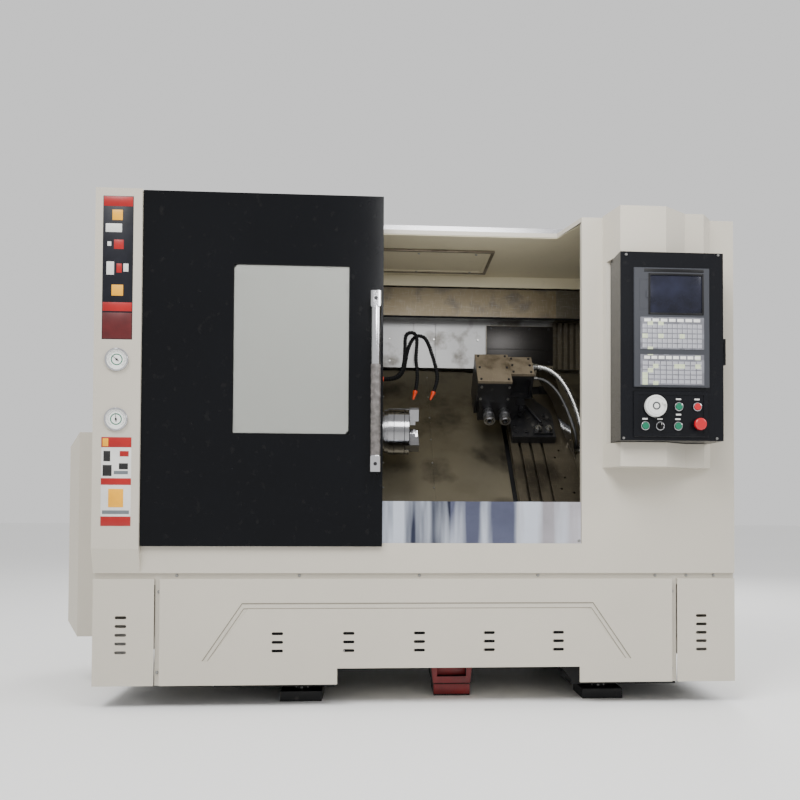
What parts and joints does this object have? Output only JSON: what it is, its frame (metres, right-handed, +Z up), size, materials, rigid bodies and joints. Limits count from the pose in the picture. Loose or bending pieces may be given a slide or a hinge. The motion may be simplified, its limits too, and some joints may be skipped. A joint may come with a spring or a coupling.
{
  "type": "cnc turning lathe",
  "caption": "Slant-bed turning lathe in a sheet casing with a sliding door, a chuck, a tool table with a driven power head and an operator console.",
  "frame": {"origin": "centre of the footprint on the floor", "axes": "+X along the spindle towards the tools, -Y towards the operator, +Z up"},
  "size_m": [2.392, 1.5005, 1.713],
  "materials": {
    "cream_paint": "satin",
    "black_gloss": "gloss",
    "black_panel": "satin",
    "grey_plastic": "matte",
    "key_film": "matte",
    "stainless": "brushed",
    "lining_steel": "oily",
    "chrome": "polished",
    "machined_steel": "turned",
    "black_iron": "painted",
    "green_iron": "painted",
    "red_plastic": "gloss",
    "green_plastic": "gloss",
    "black_plastic": "matte",
    "black_rubber": "matte",
    "hazed_glass": "filmed",
    "servo_black": "satin",
    "conduit_steel": "ribbed"
  },
  "bodies": {
    "machine": {"bed_casting": "black_iron", "levelling_mounts": "black_iron", "front_skirt": "cream_paint", "corner_skirts": "cream_paint", "side_walls": "cream_paint", "rear_wall": "cream_paint", "front_frame": "cream_paint", "gauge_column": "cream_paint", "pressure_gauges": "chrome", "roof_cover": "cream_paint", "ceiling_panels": "cream_paint", "door_track": "machined_steel", "inner_lining": "stainless", "front_splash_plate": "stainless", "fixed_way_covers": "lining_steel", "headstock": "green_iron", "console_pillar": "cream_paint", "side_cover": "cream_paint", "spindle_motor": "servo_black", "drive_belt": "black_rubber", "z_drive": "machined_steel", "coolant_hoses": "black_plastic", "chip_tray": "cream_paint", "electrical_cabinet": "cream_paint"},
    "cabinet_leaf": {"cabinet_door": "cream_paint"},
    "spindle": {"spindle_shaft": "machined_steel", "spindle_rear_parts": "machined_steel", "chuck_body": "machined_steel"},
    "jaw_a": {"jaw_1": "machined_steel"},
    "jaw_b": {"jaw_2": "machined_steel"},
    "jaw_c": {"jaw_3": "machined_steel"},
    "motor_rotor": {"motor_pulley": "machined_steel"},
    "z_screw_body": {"z_screw": "machined_steel"},
    "carriage": {"saddle": "black_iron", "carriage_cover": "lining_steel", "x_servo": "servo_black", "head_conduits": "conduit_steel"},
    "x_screw_body": {"x_screw": "machined_steel"},
    "left_cover": {"way_cover_left": "lining_steel"},
    "right_cover": {"way_cover_right": "lining_steel"},
    "cross_slide": {"tool_table": "lining_steel", "tool_head": "black_iron", "hose_guard": "stainless"},
    "live_tool_1": {"tool_nose_1": "machined_steel"},
    "live_tool_2": {"tool_nose_2": "machined_steel"},
    "door": {"door_panel": "black_gloss", "door_window": "hazed_glass", "door_handle": "chrome"},
    "console": {"panel_box": "black_panel", "control_unit": "grey_plastic", "screen_and_keypads": "key_film", "button_plate": "black_panel"},
    "flap": {"port_flap": "grey_plastic"},
    "selector": {"selector_knob": "black_plastic"},
    "estop": {"emergency_stop": "red_plastic"},
    "wheel": {"handwheel": "grey_plastic"},
    "button_green_1": {"green_button_1": "green_plastic"},
    "button_green_2": {"green_button_2": "green_plastic"},
    "button_green_3": {"green_button_3": "green_plastic"},
    "button_red": {"red_button": "red_plastic"}
  },
  "joints": [
    {"name": "spindle_spin", "type": "hinge", "parent": "machine", "child": "spindle", "pos_m": [-0.009, -0.29958, 0.94658], "axis": [1, 0, 0], "continuous": true},
    {"name": "motor_spin", "type": "hinge", "parent": "machine", "child": "motor_rotor", "pos_m": [-0.79, 0.02, 0.42], "axis": [1, 0, 0], "continuous": true},
    {"name": "jaw_1_slide", "type": "slide", "parent": "spindle", "child": "jaw_a", "axis": [0, -0.342, 0.9397], "range_m": [-0.003, 0]},
    {"name": "jaw_2_slide", "type": "slide", "parent": "spindle", "child": "jaw_b", "axis": [0, -0.6428, -0.766], "range_m": [-0.003, 0]},
    {"name": "jaw_3_slide", "type": "slide", "parent": "spindle", "child": "jaw_c", "axis": [0, 0.9848, -0.1736], "range_m": [-0.003, 0]},
    {"name": "carriage_slide", "type": "slide", "parent": "machine", "child": "carriage", "axis": [1, 0, 0], "range_m": [-0.135, 0.07]},
    {"name": "z_screw_turn", "type": "hinge", "parent": "machine", "child": "z_screw_body", "pos_m": [0.5, -0.12563, 0.77263], "axis": [1, 0, 0], "continuous": true},
    {"name": "left_cover_slide", "type": "slide", "parent": "machine", "child": "left_cover", "axis": [1, 0, 0], "range_m": [-0.07, 0.037]},
    {"name": "right_cover_slide", "type": "slide", "parent": "machine", "child": "right_cover", "axis": [1, 0, 0], "range_m": [-0.07, 0.037]},
    {"name": "cross_slide_move", "type": "slide", "parent": "carriage", "child": "cross_slide", "axis": [0, 0.7071, 0.7071], "range_m": [-0.06, 0.18], "deforming": ["head_conduits"]},
    {"name": "x_screw_turn", "type": "hinge", "parent": "carriage", "child": "x_screw_body", "pos_m": [0.5845, -0.17372, 0.82072], "axis": [0, 0.7071, 0.7071], "continuous": true},
    {"name": "live_tool_1_spin", "type": "hinge", "parent": "cross_slide", "child": "live_tool_1", "pos_m": [0.387, -0.22887, 1.01729], "axis": [0, 0.7071, 0.7071], "continuous": true},
    {"name": "live_tool_2_spin", "type": "hinge", "parent": "cross_slide", "child": "live_tool_2", "pos_m": [0.447, -0.22887, 1.01729], "axis": [0, 0.7071, 0.7071], "continuous": true},
    {"name": "door_slide", "type": "slide", "parent": "machine", "child": "door", "axis": [1, 0, 0], "range_m": [0, 0.678]},
    {"name": "cabinet_door_swing", "type": "hinge", "parent": "machine", "child": "cabinet_leaf", "pos_m": [-0.246, 0.745, 1.03], "axis": [0, 0, 1], "range_deg": [0, 110]},
    {"name": "panel_swing", "type": "hinge", "parent": "machine", "child": "console", "pos_m": [0.768, -0.612, 1.2], "axis": [0, 0, -1], "range_deg": [0, 45]},
    {"name": "port_flap_swing", "type": "hinge", "parent": "console", "child": "flap", "pos_m": [0.814, -0.7215, 1.361], "axis": [0, 0, -1], "range_deg": [0, 100]},
    {"name": "selector_turn", "type": "hinge", "parent": "console", "child": "selector", "pos_m": [0.8815, -0.717, 0.9325], "axis": [0, 1, 0], "range_deg": [0, 60]},
    {"name": "emergency_stop_press", "type": "slide", "parent": "console", "child": "estop", "axis": [0, 1, 0], "range_m": [0, 0.005]},
    {"name": "handwheel_turn", "type": "hinge", "parent": "console", "child": "wheel", "pos_m": [0.8635, -0.717, 0.996], "axis": [0, 1, 0], "continuous": true},
    {"name": "green_button_1_press", "type": "slide", "parent": "console", "child": "button_green_1", "axis": [0, 1, 0], "range_m": [0, 0.003], "stiffness_N_per_m": 400},
    {"name": "green_button_2_press", "type": "slide", "parent": "console", "child": "button_green_2", "axis": [0, 1, 0], "range_m": [0, 0.003], "stiffness_N_per_m": 400},
    {"name": "green_button_3_press", "type": "slide", "parent": "console", "child": "button_green_3", "axis": [0, 1, 0], "range_m": [0, 0.003], "stiffness_N_per_m": 400},
    {"name": "red_button_press", "type": "slide", "parent": "console", "child": "button_red", "axis": [0, 1, 0], "range_m": [0, 0.003], "stiffness_N_per_m": 400}
  ],
  "couplings": [
    {"joint": "motor_spin", "follows": "spindle_spin", "ratio": 1.5},
    {"joint": "jaw_2_slide", "follows": "jaw_1_slide", "ratio": 1},
    {"joint": "jaw_3_slide", "follows": "jaw_1_slide", "ratio": 1},
    {"joint": "z_screw_turn", "follows": "carriage_slide", "rad_per_m": 628.32},
    {"joint": "left_cover_slide", "follows": "carriage_slide", "ratio": 0.5},
    {"joint": "right_cover_slide", "follows": "carriage_slide", "ratio": 0.5},
    {"joint": "x_screw_turn", "follows": "cross_slide_move", "rad_per_m": 1047.2},
    {"joint": "live_tool_2_spin", "follows": "live_tool_1_spin", "ratio": -1}
  ]
}
